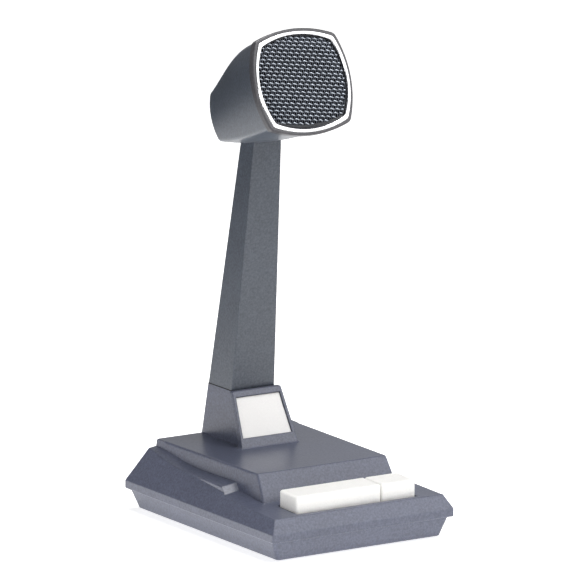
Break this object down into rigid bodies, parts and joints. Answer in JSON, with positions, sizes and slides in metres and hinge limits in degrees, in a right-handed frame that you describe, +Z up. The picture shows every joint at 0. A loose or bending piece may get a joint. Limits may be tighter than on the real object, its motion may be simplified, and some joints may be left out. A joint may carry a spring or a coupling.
{
  "type": "desk microphone",
  "caption": "Desk microphone: square-faced head on a tapered leaning column, weighted sloped base, wide press-to-talk bar and short monitor key.",
  "frame": {"origin": "centre of the base's footprint, on the desk", "axes": "+X to the talker's right, +Y away from the talker, +Z up"},
  "size_m": [0.114, 0.148, 0.2693],
  "materials": {
    "cover_plastic": "fine-textured satin, charcoal",
    "column_paint": "satin, charcoal",
    "key_plastic": "smooth, white",
    "plate_enamel": "smooth, white, bare",
    "bright_trim": "polished",
    "grille_metal": "woven and stamped, satin",
    "foam": "open foam, black",
    "rubber": "matt, black",
    "black_plastic": "moulded, black",
    "steel": "zinc plated",
    "ballast_iron": "rough, oiled",
    "board_laminate": "paper laminate",
    "sleeve": "shrink sleeve",
    "capsule_metal": "turned"
  },
  "bodies": {
    "base": {"top_cover": "cover_plastic", "name_plate": "plate_enamel", "bottom_pan": "cover_plastic", "case_screws": "steel", "rubber_feet": "rubber", "cord_gland": "black_plastic", "gland_nut": "black_plastic", "ballast_plate": "ballast_iron", "ballast_screws": "steel", "circuit_board": "board_laminate", "board_screws": "steel", "transformer": "steel", "capacitors": "sleeve", "terminal_block": "black_plastic", "key_frame": "steel", "frame_screws": "steel", "key_shaft": "steel", "shaft_clips": "steel", "talk_switch": "black_plastic", "talk_spring": "steel", "monitor_switch": "black_plastic", "monitor_spring": "steel", "column": "column_paint", "tie_tube": "steel", "tie_washer": "steel", "tie_nuts": "steel", "head_saddle": "steel", "saddle_screws": "steel", "head_shell": "column_paint", "head_bezel": "column_paint", "trim_ring": "bright_trim", "grille": "grille_metal", "foam_pad": "foam", "baffle": "black_plastic", "baffle_screws": "steel", "shock_ring": "rubber", "capsule": "capsule_metal", "capsule_cap": "black_plastic", "mic_lead": "rubber"},
    "talk_bar": {"talk_bar": "key_plastic"},
    "monitor_key": {"monitor_key": "key_plastic"},
    "talk_plunger": {"talk_plunger": "black_plastic"},
    "monitor_plunger": {"monitor_plunger": "black_plastic"}
  },
  "joints": [
    {"name": "talk_press", "type": "hinge", "parent": "base", "child": "talk_bar", "pos_m": [-0.0107, -0.0445, 0.019], "axis": [1, 0, 0], "range_deg": [0, 6], "stiffness_Nm_per_rad": 0.15, "springref_deg": -6.88, "deforming": ["talk_spring"]},
    {"name": "monitor_press", "type": "hinge", "parent": "base", "child": "monitor_key", "pos_m": [0.0274, -0.0445, 0.019], "axis": [1, 0, 0], "range_deg": [0, 6], "stiffness_Nm_per_rad": 0.15, "springref_deg": -6.88, "deforming": ["monitor_spring"]},
    {"name": "talk_plunge", "type": "slide", "parent": "base", "child": "talk_plunger", "axis": [0, 0, 1], "range_m": [-0.0016, 0]},
    {"name": "monitor_plunge", "type": "slide", "parent": "base", "child": "monitor_plunger", "axis": [0, 0, 1], "range_m": [-0.0016, 0]}
  ],
  "couplings": [
    {"joint": "talk_plunge", "follows": "talk_press", "m_per_rad": -0.0135},
    {"joint": "monitor_plunge", "follows": "monitor_press", "m_per_rad": -0.0135}
  ]
}
